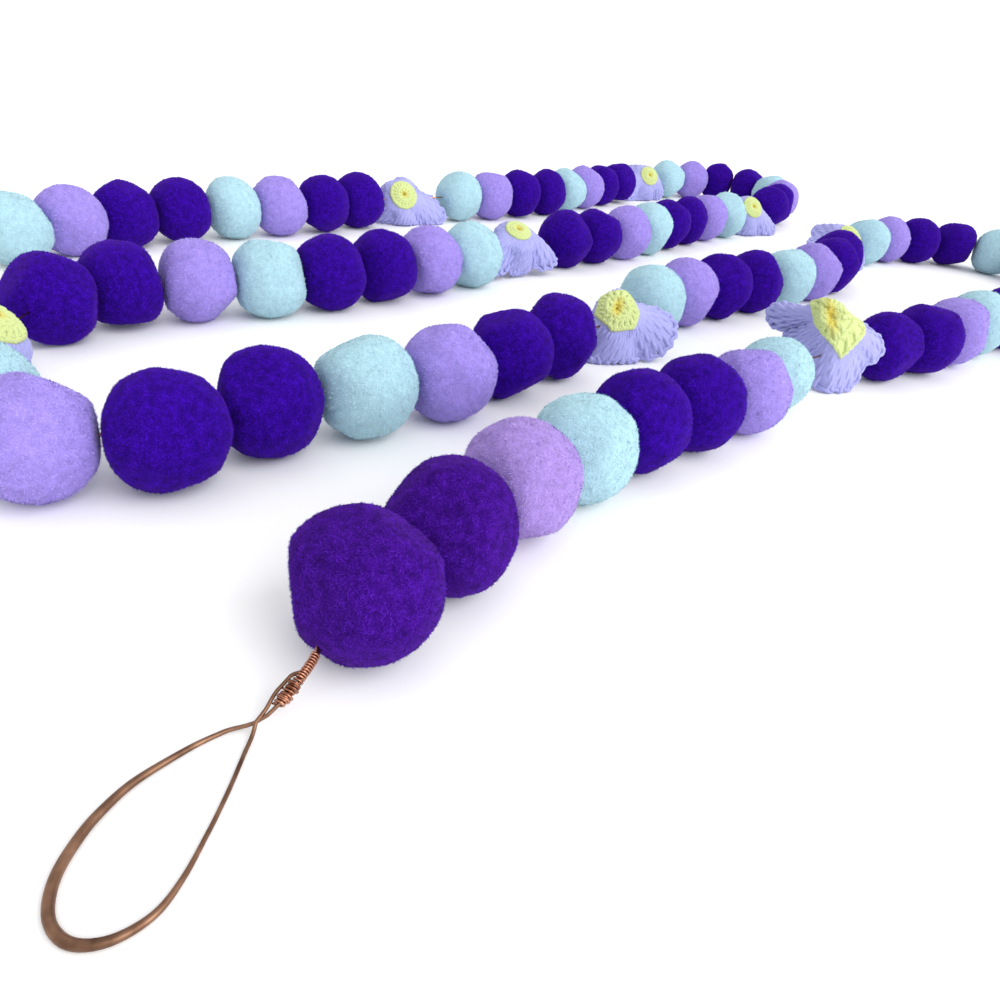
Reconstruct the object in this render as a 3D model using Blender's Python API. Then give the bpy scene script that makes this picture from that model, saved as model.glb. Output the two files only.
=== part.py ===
"""Pom-pom garland laid on a table in four runs, one string of copper craft wire.

Metres, +Z up, resting on z = 0. The origin is the middle of the footprint. Sizes below are in millimetres.
"""

import math
import random

import bmesh
import bpy
from mathutils import Matrix, Vector

MM = 0.001

# Pom-poms: 25 mm across, pressed together on the string so that each takes less than its own width.
POM_RADIUS = 12.5
POM_HEIGHT = 12.0          # string height; a little under the radius, so each one has a flat spot
POM_PITCH = 22.3           # beside a flower; STRETCHES has the rest
POM_LUMP = 0.05            # the pile's unevenness, as a share of the radius
POM_SIDES = 10
POM_LATITUDES = (-45.0, -16.0, 16.0, 45.0)
POM_END_LATITUDE = 68.0    # where a pom-pom with no neighbour closes round the wire
WAIST_SWELL = 0.5          # pile that fills the groove between two joined pom-poms
GAP = 0.3                  # between neighbouring pieces

# The string: 0.6 mm craft wire through a five-sided channel in every piece.
WIRE_RADIUS = 0.30
BORE_RADIUS = 0.80
BORE_SIDES = 5

# One repeat along the string: P dark purple, L lavender, M mint, F flower.
REPEAT = "PPLMPPLMF"
REPEATS = 10
ORDER = (REPEAT * REPEATS)[:-1]
PALE_PAIRS_APART = 8       # lavender and mint stay two nodes in the first pairs, and are joined in the rest

# Crocheted flower, threaded on the string behind its face, which leans towards the viewer. It is folded a
# little over the string, and each petal bends backwards and is kept out of the pom-poms beside it.
FLOWER_SPAN = 39.4         # length of string that it takes
NOTCH_LENGTH = 18.0        # to the rim between two petals
FLAT_LENGTH = 4.0          # the face is flat out to here
BENT_LENGTH = 15.5         # and a petal has its full bend from here on
FLOWER_THICKNESS = 2.4
CENTRE_DOME = 1.6
FLOWER_DIMPLE = 1.8        # the hole that the first crochet round leaves, as a hollow
CREASE_DEPTH = 3.2         # fold between two petals
CREASED_FROM = 8.0         # the dome ends and the folds between petals start here
FOLD_LENGTH = 3.5          # of cloth in which a fold is made
TUCKED_FROM = 4.0          # from the middle to where a tuck starts
FLOWER_STEPS = 25          # points round the flower, five a petal
FLOWER_RINGS = (0.0, 0.36, 0.70, 1.0)
PRESS = 13.9               # how near a petal's middle comes to a pom-pom's middle
FLOOR_LIFT = 0.15          # how far the lowest petals stay off the table


def round_corners(radius):
    """Twelve corners round a circle, for yellow rounds that nothing pulls out of shape."""
    return tuple((30 * k, radius) for k in range(12))


# Where each flower looks (0 is the viewer's right, -90 is straight at the viewer), its lean from level, its
# middle's height, how far that is ahead of the string and to the viewer's right, the ways of its five petals
# (from the viewer's right, over the top, to the left and below), the way and the angle of its fold over the
# string and of a tuck behind the yellow, the corners of its yellow rounds, and each petal's bend backwards in
# degrees and length from the flower's middle.
FLOWERS = (
    {"looks": -84, "lean": 62, "height": 24.5, "ahead": 3, "shift": -5, "ways": (-12, 75, 168, 235, 303),
     "fold": (195, 75), "tuck": (67, 100), "yellow": ((2, 16.0), (125, 9.0), (200, 4.5), (300, 13.5)),
     "petals": ((26, 27), (30, 20), (8, 27), (5, 22), (34, 29))},
    {"looks": -35, "lean": 35, "height": 17, "ahead": 2, "shift": 0, "ways": (0, 72, 144, 216, 288),
     "fold": (180, 10), "tuck": (90, 0), "yellow": round_corners(7.0),
     "petals": ((60, 24), (95, 22), (85, 22), (60, 24), (70, 22))},
    {"looks": -60, "lean": 46, "height": 17, "ahead": 2, "shift": 0, "ways": (-25, 47, 119, 191, 263),
     "fold": (180, 0), "tuck": (90, 0), "yellow": round_corners(6.4),
     "petals": ((40, 24), (60, 22), (60, 22), (22, 25), (45, 27))},
    {"looks": -68, "lean": 44, "height": 17, "ahead": 3, "shift": -4, "ways": (-12, 62, 130, 202, 268),
     "fold": (150, 40), "tuck": (90, 0),
     "yellow": ((-10, 7.4), (50, 7.8), (115, 7.2), (185, 6.4), (250, 7.2), (310, 7.8)),
     "petals": ((12, 24), (70, 24), (100, 21), (30, 24), (50, 28))},
    {"looks": 20, "lean": 38, "height": 17, "ahead": 2, "shift": 0, "ways": (0, 72, 144, 216, 288),
     "fold": (180, 10), "tuck": (90, 0), "yellow": round_corners(7.0),
     "petals": ((60, 23), (90, 22), (85, 22), (60, 23), (70, 22))},
    {"looks": -58, "lean": 26, "height": 18.5, "ahead": 1, "shift": -3, "ways": (-10, 62, 134, 206, 278),
     "fold": (180, 0), "tuck": (90, 0), "yellow": round_corners(4.6),
     "petals": ((38, 26), (70, 23), (100, 21), (34, 24), (88, 22))},
    {"looks": -62, "lean": 50, "height": 16, "ahead": 6, "shift": -6, "ways": (-20, 52, 124, 196, 268),
     "fold": (180, 0), "tuck": (90, 0), "yellow": round_corners(5.6),
     "petals": ((28, 28), (80, 22), (100, 21), (62, 21), (52, 25))},
    {"looks": -66, "lean": 52, "height": 16, "ahead": 2, "shift": 0, "ways": (-18, 54, 126, 198, 270),
     "fold": (180, 0), "tuck": (90, 0), "yellow": round_corners(5.6),
     "petals": ((50, 24), (80, 22), (60, 23), (-10, 26), (60, 25))},
    {"looks": -58, "lean": 56, "height": 14.5, "ahead": 5, "shift": -6, "ways": (-14, 58, 130, 202, 274),
     "fold": (180, 0), "tuck": (90, 0), "yellow": round_corners(6.0),
     "petals": ((24, 28), (60, 24), (85, 22), (62, 22), (52, 25))},
)

# The string's route on the table, seen from above, measured from the point under the viewer's eye.
ROUTE = (
    (-18.9, 91.1), (-7.3, 111.8), (5, 132), (32, 167), (63, 196), (74.2, 213.3), (100, 238), (144, 269),
    (177, 300), (213, 326), (247, 355), (272, 386), (283, 420), (274, 449), (256, 464), (235, 468),
    (194, 453), (159, 414), (138, 366), (109, 333), (75, 302), (44, 270), (31, 241), (10, 217),
    (-17, 180), (-53, 150), (-67, 132), (-86, 121),
    (-108, 134), (-125, 164), (-128, 194),
    (-116, 215), (-81, 239), (-51, 269), (-23, 301), (15, 350), (45, 382), (70, 419), (97, 455),
    (133, 495), (157, 544), (163, 568), (154, 590), (139, 603), (122, 604), (104, 595),
    (86, 582), (69, 556), (47, 534), (12, 477), (-16, 443), (-47, 412), (-88, 371), (-99, 354),
    (-130, 323), (-158, 291), (-181, 245), (-190, 225),
)
ORIGIN = (46.0, 329.7)     # the footprint's middle on that table
# How tightly the pom-poms sit from each piece on, counted from the front end, and bare wire after a piece.
STRETCHES = (
    {"first": 0, "pitch": 22.3},
    {"first": 27, "pitch": 23.5},
    {"first": 31, "pitch": 22.3},
    {"first": 36, "pitch": 23.5},
    {"first": 45, "pitch": 21.5},
    {"first": 62, "pitch": 22.6},
    {"first": 72, "pitch": 21.6},
)
BARE_WIRE = {22: 1.5, 41: 1.0, 43: 3.6}

# Hanging eyes: the wire dips from the last pom-pom to the table, wrapped round itself, then opens out.
EYE_SLOPE = 26.0           # degrees below level
EYE_STEM = 24.8            # from the pom-pom's middle to where the loop opens
STEM_SWAY = 0.9            # how far it bows to the viewer's right on the way
WRAP_RADIUS = 0.90
STRAND_SPREAD = 0.42       # half the distance between the two strands inside the wrap
FRONT_HEADING = (-0.485, -0.875)
BACK_HEADING = (-0.42, -0.907)
# Outline of the front loop: ahead of the stem's end, and to the viewer's left of it.
FRONT_LOOP = (
    (1.0, 0.9), (3.2, 2.6), (6.5, 3.7), (10.5, 4.4), (15.3, 4.9), (19.2, 4.5), (23.5, 3.3), (28.4, 0.6),
    (31.4, -3.2), (31.6, -7.2), (29.0, -10.2), (24.6, -11.4), (20.0, -10.3), (14.9, -8.0), (12.4, -6.8),
    (8.4, -4.7), (4.2, -2.3), (1.2, -0.8),
)
BACK_LOOP = (
    (1.5, 1.3), (6.0, 4.6), (12.0, 7.0), (19.0, 7.6), (25.0, 5.0), (27.6, 0.0),
    (25.0, -5.0), (19.0, -7.6), (12.0, -7.0), (6.0, -4.6), (1.5, -1.3),
)

DARK_PURPLE = (0.060, 0.010, 0.300)
LAVENDER = (0.430, 0.340, 0.860)
MINT = (0.480, 0.760, 0.860)
PERIWINKLE = (0.330, 0.350, 0.820)
PALE_YELLOW = (0.740, 0.830, 0.360)
COPPER = (0.450, 0.190, 0.100)


def clear_scene():
    for thing in list(bpy.data.objects):
        bpy.data.objects.remove(thing, do_unlink=True)


def make_material(name, color, roughness, metallic=0.0):
    material = bpy.data.materials.new(name)
    material.use_nodes = True
    shader = material.node_tree.nodes["Principled BSDF"]
    shader.inputs["Base Color"].default_value = (*color, 1.0)
    shader.inputs["Roughness"].default_value = roughness
    shader.inputs["Metallic"].default_value = metallic
    material.diffuse_color = (*color, 1.0)
    return material


def add_object(name, mesh, materials):
    thing = bpy.data.objects.new(name, mesh)
    for material in materials:
        mesh.materials.append(material)
    bpy.context.scene.collection.objects.link(thing)
    return thing


def finish_mesh(bm, name, materials):
    """Weld nothing, face outwards, shade smooth and scale from millimetres to metres."""
    bmesh.ops.recalc_face_normals(bm, faces=bm.faces)
    bmesh.ops.scale(bm, vec=(MM, MM, MM), verts=bm.verts)
    mesh = bpy.data.meshes.new(name)
    bm.to_mesh(mesh)
    bm.free()
    mesh.shade_smooth()
    mesh.set_sharp_from_angle(angle=math.radians(50))
    return add_object(name, mesh, materials)


# The route along the table.

def smooth_route(points, steps=12):
    """Points on a Catmull-Rom curve through the route's own points."""
    flat = [Vector(p) for p in points]
    flat = [flat[0] * 2 - flat[1]] + flat + [flat[-1] * 2 - flat[-2]]
    curve = []
    for a, b, c, d in zip(flat, flat[1:], flat[2:], flat[3:]):
        for i in range(steps):
            t = i / steps
            curve.append(0.5 * (2 * b + (c - a) * t + (2 * a - 5 * b + 4 * c - d) * t * t
                                + (3 * b - a - 3 * c + d) * t ** 3))
    curve.append(flat[-2])
    return curve


def string_length(piece):
    """Length of string that a piece takes."""
    if ORDER[piece] == "F":
        return FLOWER_SPAN
    return [row["pitch"] for row in STRETCHES if row["first"] <= piece][-1]


def place_pieces():
    """The middle of each piece, at its distance along the string."""
    curve = smooth_route(ROUTE)
    wanted, distance = [0.0], 0.0
    for i in range(len(ORDER) - 1):
        distance += (string_length(i) + string_length(i + 1)) / 2 + BARE_WIRE.get(i, 0.0)
        wanted.append(distance)
    places, walked = [], 0.0
    for a, b in zip(curve, curve[1:]):
        step = (b - a).length
        while len(places) < len(wanted) and wanted[len(places)] <= walked + step:
            spot = a.lerp(b, (wanted[len(places)] - walked) / step)
            places.append(Vector((spot.x - ORIGIN[0], spot.y - ORIGIN[1], POM_HEIGHT)))
        walked += step
    return places


def dipped(heading):
    """A level heading turned down to the table at the eye's slope."""
    slope = math.radians(EYE_SLOPE)
    level = Vector((heading[0], heading[1], 0.0)).normalized()
    return level * math.cos(slope) - Vector((0, 0, math.sin(slope)))


# Pom-poms.

def frame_across(direction):
    """Two unit vectors across a direction, the second as near upright as it can be."""
    side = direction.cross(Vector((0, 0, 1))).normalized()
    return side, side.cross(direction).normalized()


def add_ring(bm, centre, direction, radius, sides, jitter=None):
    side, upright = frame_across(direction)
    ring = []
    for i in range(sides):
        angle = 2 * math.pi * (i + 0.5) / sides - math.pi / 2
        reach = radius * (1.0 if jitter is None else 1.0 + jitter.uniform(-POM_LUMP, POM_LUMP))
        ring.append(bm.verts.new(centre + reach * (side * math.cos(angle) + upright * math.sin(angle))))
    return ring


def bridge_rings(bm, ring_a, ring_b, material_index=0):
    count = len(ring_a)
    for i in range(count):
        j = (i + 1) % count
        bm.faces.new((ring_a[i], ring_a[j], ring_b[j], ring_b[i])).material_index = material_index


def cap_round_bore(bm, outer, inner, material_index):
    """Flat end between a pom-pom's outer ring and the wire's channel, which has half as many sides."""
    ratio = len(outer) // len(inner)
    for k in range(len(inner)):
        after = (k + 1) % len(inner)
        start = k * ratio
        corners = [outer[(start + i) % len(outer)] for i in range(ratio + 1)]
        bm.faces.new((inner[k], corners[0], corners[1])).material_index = material_index
        bm.faces.new((inner[k], corners[1], corners[2], inner[after])).material_index = material_index


def pom_shell(bm, centre, arriving, leaving, first, last, seed):
    """The rings of one pom-pom between two end rings, which are its neighbours' contact faces."""
    jitter = random.Random(seed)
    rings = [first] if first else []
    count = len(POM_LATITUDES)
    for i, latitude in enumerate(POM_LATITUDES):
        direction = arriving.lerp(leaving, (i + 1) / (count + 1)).normalized()
        angle = math.radians(latitude)
        ring = add_ring(bm, centre + direction * POM_RADIUS * math.sin(angle), direction,
                        POM_RADIUS * math.cos(angle), POM_SIDES, jitter)
        if abs(latitude) < 30:
            for vertex in (ring[0], ring[-1]):
                vertex.co.z = 0.0
        rings.append(ring)
    if last:
        rings.append(last)
    return rings


def make_poms(name, members, materials, colours):
    """One solid of one or two pom-poms on the string, with the wire's channel through it.

    members holds, for each pom-pom, its middle, its string directions and how far its ends reach.
    """
    bm = bmesh.new()
    first = members[0]
    last = members[-1]
    start = first["middle"] - first["arriving"] * first["reach_back"]
    end = last["middle"] + last["leaving"] * last["reach_on"]
    opening = add_ring(bm, start, first["arriving"], end_radius(first["reach_back"]), POM_SIDES)
    shell = [opening]
    owners = []
    for k, member in enumerate(members):
        rings = pom_shell(bm, member["middle"], member["arriving"], member["leaving"], None, None,
                          member["seed"])
        shell += rings
        owners += [colours[k]] * len(rings)
        if k + 1 < len(members):
            after = members[k + 1]
            middle = (member["middle"] + after["middle"]) / 2
            half = (after["middle"] - member["middle"]).length / 2
            shell.append(add_ring(bm, middle, member["leaving"], end_radius(half) + WAIST_SWELL, POM_SIDES))
            owners.append(colours[k])
    closing = add_ring(bm, end, last["leaving"], end_radius(last["reach_on"]), POM_SIDES)
    shell.append(closing)
    owners.append(colours[-1])
    for ring_a, ring_b, colour in zip(shell, shell[1:], owners):
        bridge_rings(bm, ring_a, ring_b, colour)

    bore = [add_ring(bm, start, first["arriving"], BORE_RADIUS, BORE_SIDES)]
    for member in members:
        direction = (member["arriving"] + member["leaving"]).normalized()
        bore.append(add_ring(bm, member["middle"], direction, BORE_RADIUS, BORE_SIDES))
    bore.append(add_ring(bm, end, last["leaving"], BORE_RADIUS, BORE_SIDES))
    for ring_a, ring_b in zip(bore, bore[1:]):
        bridge_rings(bm, ring_b, ring_a, colours[0])
    cap_round_bore(bm, opening, bore[0], colours[0])
    cap_round_bore(bm, closing, bore[-1], colours[-1])
    return finish_mesh(bm, name, materials)


def end_radius(reach):
    return math.sqrt(max(POM_RADIUS ** 2 - reach ** 2, 1.0))


# Crocheted flowers.

def smooth_step(value):
    value = min(max(value, 0.0), 1.0)
    return value * value * (3.0 - 2.0 * value)


def petal_place(ways, angle):
    """Which petal lies in this direction, with the share of the way to the next one."""
    turned = (math.degrees(angle) - ways[0]) % 360.0
    stops = [way - ways[0] for way in ways] + [360.0]
    for here, (start, stop) in enumerate(zip(stops, stops[1:])):
        if turned <= stop:
            return here, (turned - start) / (stop - start)
    return 0, 0.0


def corner_reach(corners, angle):
    """Distance from the middle to the straight sides between these corners."""
    here, share = petal_place([way for way, _ in corners], angle)
    after = (here + 1) % len(corners)
    spread = math.radians((corners[after][0] - corners[here][0]) % 360.0)
    start, stop, turned = corners[here][1], corners[after][1], spread * share
    return start * stop * math.sin(spread) / (start * math.sin(turned) + stop * math.sin(spread - turned))


def flower_point(shape, face, angle, share, side):
    """A point of the cloth: share runs from the yellow rounds' edge to the rim, and is None in the middle.

    side is 0 on the face and 1 on the back.
    """
    across, upward, outward = face
    here, between = petal_place(shape["ways"], angle)
    swing = abs(math.cos(math.pi * between))
    ease = smooth_step(between)
    bend, petal = [a * (1 - ease) + b * ease
                   for a, b in zip(shape["petals"][here], shape["petals"][(here + 1) % 5])]
    bend = math.radians(bend)
    fold_way, fold = [math.radians(value) for value in shape["fold"]]
    fold *= max(0.0, math.cos(angle - fold_way))
    tuck_way, tuck = [math.radians(value) for value in shape["tuck"]]
    tuck *= max(0.0, math.cos(angle - tuck_way)) ** 2
    rim = NOTCH_LENGTH + (petal - NOTCH_LENGTH) * swing ** 0.6
    heading = across * math.cos(angle) + upward * math.sin(angle)
    yellow = corner_reach(shape["yellow"], angle)
    length = 0.0 if share is None else yellow + (rim - yellow) * share
    walked, point, tilt, steps = 0.0, Vector(), 0.0, 12
    for _ in range(steps):
        walked += length / steps
        tilt = bend * smooth_step((walked - FLAT_LENGTH) / (BENT_LENGTH - FLAT_LENGTH))
        tilt += fold * smooth_step(walked / FOLD_LENGTH) + tuck * smooth_step((walked - TUCKED_FROM) / FOLD_LENGTH)
        point += (heading * math.cos(tilt) - outward * math.sin(tilt)) * length / steps
    normal = outward * math.cos(tilt) + heading * math.sin(tilt)
    crease = CREASE_DEPTH * (1.0 - swing) * smooth_step((walked - max(CREASED_FROM, yellow)) / 5.0)
    dome = CENTRE_DOME * max(0.0, 1.0 - (walked / CREASED_FROM) ** 2)
    return point + normal * (dome - crease - FLOWER_THICKNESS * side)


def keep_clear(points, neighbours):
    """Shift the cloth's two faces together, out of the pom-poms beside it and off the table."""
    middle = sum(points, Vector()) / len(points)
    shift = Vector()
    for ball in neighbours:
        away = middle + shift - ball
        if away.length < PRESS + FLOWER_THICKNESS / 2:
            shift += away.normalized() * (PRESS + FLOWER_THICKNESS / 2 - away.length)
    lowest = min(point.z for point in points) + shift.z
    shift.z += max(0.0, FLOOR_LIFT - lowest)
    return [point + shift for point in points]


def make_flower(name, middle, arriving, leaving, shape, neighbours, materials):
    bm = bmesh.new()
    looks = math.radians(shape["looks"])
    lean = math.radians(shape["lean"])
    ahead = Vector((math.cos(looks), math.sin(looks), 0.0))
    outward = ahead * math.sin(lean) + Vector((0, 0, math.cos(lean)))
    across = Vector((-ahead.y, ahead.x, 0.0))
    face = (across, outward.cross(across), outward)
    seat = Vector((middle.x, middle.y, shape["height"])) + ahead * shape["ahead"] + across * shape["shift"]

    layers = [[], []]
    for share in (None,) + FLOWER_RINGS:
        count = 1 if share is None else FLOWER_STEPS
        rings = ([], [])
        for i in range(count):
            angle = 2 * math.pi * i / FLOWER_STEPS
            spots = [seat + flower_point(shape, face, angle, share, side) for side in (0, 1)]
            if share is None:
                spots[0] -= outward * FLOWER_DIMPLE
            for ring, spot in zip(rings, keep_clear(spots, neighbours)):
                ring.append(bm.verts.new(spot))
        for layer, ring in zip(layers, rings):
            layer.append(ring)

    for layer in layers:
        crown, inner_ring = layer[0][0], layer[1]
        for i in range(FLOWER_STEPS):
            j = (i + 1) % FLOWER_STEPS
            bm.faces.new((crown, inner_ring[i], inner_ring[j])).material_index = 1
        for k in range(1, len(layer) - 1):
            bridge_rings(bm, layer[k], layer[k + 1])
    bridge_rings(bm, layers[0][-1], layers[1][-1])
    flower = finish_mesh(bm, name, materials)

    channel = bmesh.new()
    ends = [middle - arriving * FLOWER_SPAN * 0.7, middle, middle + leaving * FLOWER_SPAN * 0.7]
    directions = [arriving, (arriving + leaving).normalized(), leaving]
    rings = [add_ring(channel, spot, way, BORE_RADIUS, BORE_SIDES) for spot, way in zip(ends, directions)]
    for ring_a, ring_b in zip(rings, rings[1:]):
        bridge_rings(channel, ring_a, ring_b)
    channel.faces.new(rings[0])
    channel.faces.new(rings[-1])
    cutter = finish_mesh(channel, name + "_channel", [])
    cutter.hide_render = True
    cutter.display_type = "WIRE"
    cut = flower.modifiers.new("wire channel", "BOOLEAN")
    cut.operation = "DIFFERENCE"
    cut.solver = "EXACT"
    cut.object = cutter
    return flower


# Wire and hanging eyes.

def make_wire(name, points, radius, material):
    curve = bpy.data.curves.new(name, "CURVE")
    curve.dimensions = "3D"
    curve.bevel_depth = radius * MM
    curve.bevel_resolution = 2
    curve.use_fill_caps = True
    curve.twist_mode = "Z_UP"
    spline = curve.splines.new("POLY")
    spline.points.add(len(points) - 1)
    for knot, point in zip(spline.points, points):
        knot.co = (*(point * MM), 1.0)
    curve.materials.append(material)
    thing = bpy.data.objects.new(name, curve)
    bpy.context.scene.collection.objects.link(thing)
    return thing


def make_eye(name, middle, heading, outline, material):
    """Wrapped stem from the last pom-pom's face down to the table, joined to a flat teardrop loop."""
    slope = dipped(heading)
    level = Vector((heading[0], heading[1], 0.0)).normalized()
    left = Vector((-level.y, level.x, 0.0)) * -1.0
    start = middle + slope * (face_reach() + GAP)
    end = middle + slope * EYE_STEM
    bowed = [start.lerp(end, share) - left * STEM_SWAY * math.sin(math.pi * share)
             for share in (0.0, 0.25, 0.5, 0.75, 1.0)]
    stem = make_wire(name, bowed, WRAP_RADIUS, material)

    inside = end - slope * 1.2
    knots = [inside + left * STRAND_SPREAD]
    ground = Vector((end.x, end.y, WIRE_RADIUS))
    loop = [(0.0, STRAND_SPREAD)] + list(outline) + [(0.0, -STRAND_SPREAD)]
    dense = smooth_route(loop, steps=2)
    for spot in dense:
        lift = (end.z - WIRE_RADIUS) * max(0.0, 1.0 - spot.x / 6.0) ** 2
        knots.append(ground + level * spot.x + left * spot.y + Vector((0, 0, lift)))
    knots.append(inside - left * STRAND_SPREAD)
    strand = make_wire(name + "_strand", knots, WIRE_RADIUS, material)
    strand.hide_render = True
    strand.display_type = "WIRE"

    meshes = []
    graph = bpy.context.evaluated_depsgraph_get()
    for curve_object in (stem, strand):
        meshes.append(bpy.data.meshes.new_from_object(curve_object.evaluated_get(graph)))
    bpy.data.objects.remove(stem, do_unlink=True)
    bpy.data.objects.remove(strand, do_unlink=True)
    eye = bpy.data.objects.new(name, meshes[0])
    loop_object = bpy.data.objects.new(name + "_loop", meshes[1])
    for thing in (eye, loop_object):
        bpy.context.scene.collection.objects.link(thing)
    loop_object.hide_render = True
    loop_object.display_type = "WIRE"
    join = eye.modifiers.new("loop", "BOOLEAN")
    join.operation = "UNION"
    join.solver = "EXACT"
    join.object = loop_object
    return eye


def face_reach():
    """Distance from an end pom-pom's middle to its outer face."""
    return POM_RADIUS * math.sin(math.radians(POM_END_LATITUDE))


# The whole garland.

def build():
    clear_scene()
    dark = make_material("dark purple pile", DARK_PURPLE, 0.95)
    lavender = make_material("lavender pile", LAVENDER, 0.95)
    mint = make_material("mint pile", MINT, 0.95)
    petal = make_material("periwinkle crochet", PERIWINKLE, 0.9)
    centre = make_material("yellow crochet", PALE_YELLOW, 0.9)
    copper = make_material("copper wire", COPPER, 0.35, 1.0)

    places = place_pieces()
    ways = [(b - a).normalized() for a, b in zip(places, places[1:])]
    arrivals = [-dipped(FRONT_HEADING)] + ways
    departures = ways + [dipped(BACK_HEADING)]

    members = []
    for i, kind in enumerate(ORDER):
        member = {"middle": places[i], "arriving": arrivals[i], "leaving": departures[i], "seed": i}
        for key, other in (("reach_back", i - 1), ("reach_on", i + 1)):
            if not 0 <= other < len(ORDER):
                member[key] = face_reach()
            elif "F" in (kind, ORDER[other]):
                member[key] = face_reach()
            else:
                member[key] = ((places[other] - places[i]).length - GAP) / 2
        members.append(member)

    pairs_dark = pairs_pale = flowers = 0
    i = 0
    while i < len(ORDER):
        if ORDER[i] == "F":
            flowers += 1
            make_flower(f"flower_{flowers}", places[i], arrivals[i], departures[i], FLOWERS[flowers - 1],
                        (places[i - 1], places[i + 1]), [petal, centre])
            i += 1
        elif ORDER[i] == "P":
            pairs_dark += 1
            make_poms(f"dark_pair_{pairs_dark:02d}", members[i:i + 2], [dark], (0, 0))
            i += 2
        else:
            pairs_pale += 1
            if pairs_pale <= PALE_PAIRS_APART:
                make_poms(f"lavender_{pairs_pale:02d}", members[i:i + 1], [lavender], (0,))
                make_poms(f"mint_{pairs_pale:02d}", members[i + 1:i + 2], [mint], (0,))
            else:
                make_poms(f"pale_pair_{pairs_pale:02d}", members[i:i + 2], [lavender, mint], (0, 1))
            i += 2

    front = places[0] - arrivals[0] * (face_reach() - 0.2)
    back = places[-1] + departures[-1] * (face_reach() - 0.2)
    make_wire("string_wire", [front] + places + [back], WIRE_RADIUS, copper)
    make_eye("front_eye", places[0], FRONT_HEADING, FRONT_LOOP, copper)
    make_eye("back_eye", places[-1], BACK_HEADING, BACK_LOOP, copper)


build()
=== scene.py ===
"""Pom-pom garland laid on a pale table: its pile, crochet and copper wire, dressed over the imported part.

Metres, +Z up, resting on z = 0, in the part's own frame. Sizes below are in millimetres unless they say more.
"""

import math
import random

import bmesh
import bpy
import numpy as np
from mathutils import Matrix, Vector, noise


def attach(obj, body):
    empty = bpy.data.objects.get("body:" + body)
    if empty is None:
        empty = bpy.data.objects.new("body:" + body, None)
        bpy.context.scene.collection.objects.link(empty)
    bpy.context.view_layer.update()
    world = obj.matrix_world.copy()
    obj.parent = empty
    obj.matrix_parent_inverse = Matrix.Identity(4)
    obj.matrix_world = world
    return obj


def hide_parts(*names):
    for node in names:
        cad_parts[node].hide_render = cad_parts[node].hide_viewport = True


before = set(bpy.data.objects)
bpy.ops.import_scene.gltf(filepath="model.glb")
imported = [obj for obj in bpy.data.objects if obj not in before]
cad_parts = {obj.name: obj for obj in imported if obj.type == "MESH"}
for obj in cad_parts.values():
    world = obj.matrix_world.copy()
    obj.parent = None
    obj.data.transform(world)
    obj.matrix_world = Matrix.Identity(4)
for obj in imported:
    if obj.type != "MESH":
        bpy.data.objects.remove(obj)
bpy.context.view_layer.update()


# The viewer's eye. It hangs 86 mm over the table, close to the garland's front end, and looks down
# along the four runs with a wide lens, held a little askew.
MM = 0.001
TABLE_MIDDLE = Vector((46.0, 329.7))       # the footprint's middle, from the point under the eye
EYE_HEIGHT = 86.29
LOOKS_DOWN = math.radians(31.452)
HELD_ASKEW = math.radians(7.443)
LENS_LENGTH = 27.22
SENSOR_WIDTH = 36.0

ahead = Vector((0, math.cos(LOOKS_DOWN), -math.sin(LOOKS_DOWN)))
above = Vector((0, math.sin(LOOKS_DOWN), math.cos(LOOKS_DOWN)))
beside = Vector((1, 0, 0))
frame_right = beside * math.cos(HELD_ASKEW) + above * math.sin(HELD_ASKEW)
frame_up = above * math.cos(HELD_ASKEW) - beside * math.sin(HELD_ASKEW)
eye = Vector((-TABLE_MIDDLE.x, -TABLE_MIDDLE.y, EYE_HEIGHT))

camera_data = bpy.data.cameras.new("viewers_eye")
camera_data.sensor_width = SENSOR_WIDTH
camera_data.lens = LENS_LENGTH
camera_data.clip_start = 0.001
camera = bpy.data.objects.new("viewers_eye", camera_data)
bpy.context.scene.collection.objects.link(camera)
turned = Matrix((frame_right, frame_up, -ahead)).transposed().to_4x4()
camera.matrix_world = Matrix.Translation(eye * MM) @ turned
bpy.context.scene.camera = camera


# The table is a plain white board, lit by a white room and one broad soft lamp high on the right, so that
# each pom-pom is bright on its right side and deep in colour on its left.
TABLE_SIZE = 60.0                          # metres
TABLE_WHITE = (0.90, 0.90, 0.90)
ROOM_LIGHT = 1.05
WINDOW_SIDE = (0.80, -0.42, 0.62)          # where the lamp shines from
WINDOW_STRENGTH = 2.5
WINDOW_SOFTNESS = math.radians(60)


def plain_finish(name, colour, roughness):
    """A material whose shader is still to be dressed, with its nodes and links."""
    material = bpy.data.materials.new(name)
    material.use_nodes = True
    shader = material.node_tree.nodes["Principled BSDF"]
    shader.inputs["Base Color"].default_value = (*colour, 1.0)
    shader.inputs["Roughness"].default_value = roughness
    material.diffuse_color = (*colour, 1.0)
    return material, shader


table_mesh = bpy.data.meshes.new("table")
half = TABLE_SIZE / 2
table_mesh.from_pydata([(-half, -half, 0), (half, -half, 0), (half, half, 0), (-half, half, 0)], [],
                       [(0, 1, 2, 3)])
table = bpy.data.objects.new("table", table_mesh)
bpy.context.scene.collection.objects.link(table)
table_mesh.materials.append(plain_finish("white board", TABLE_WHITE, 0.7)[0])

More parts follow.
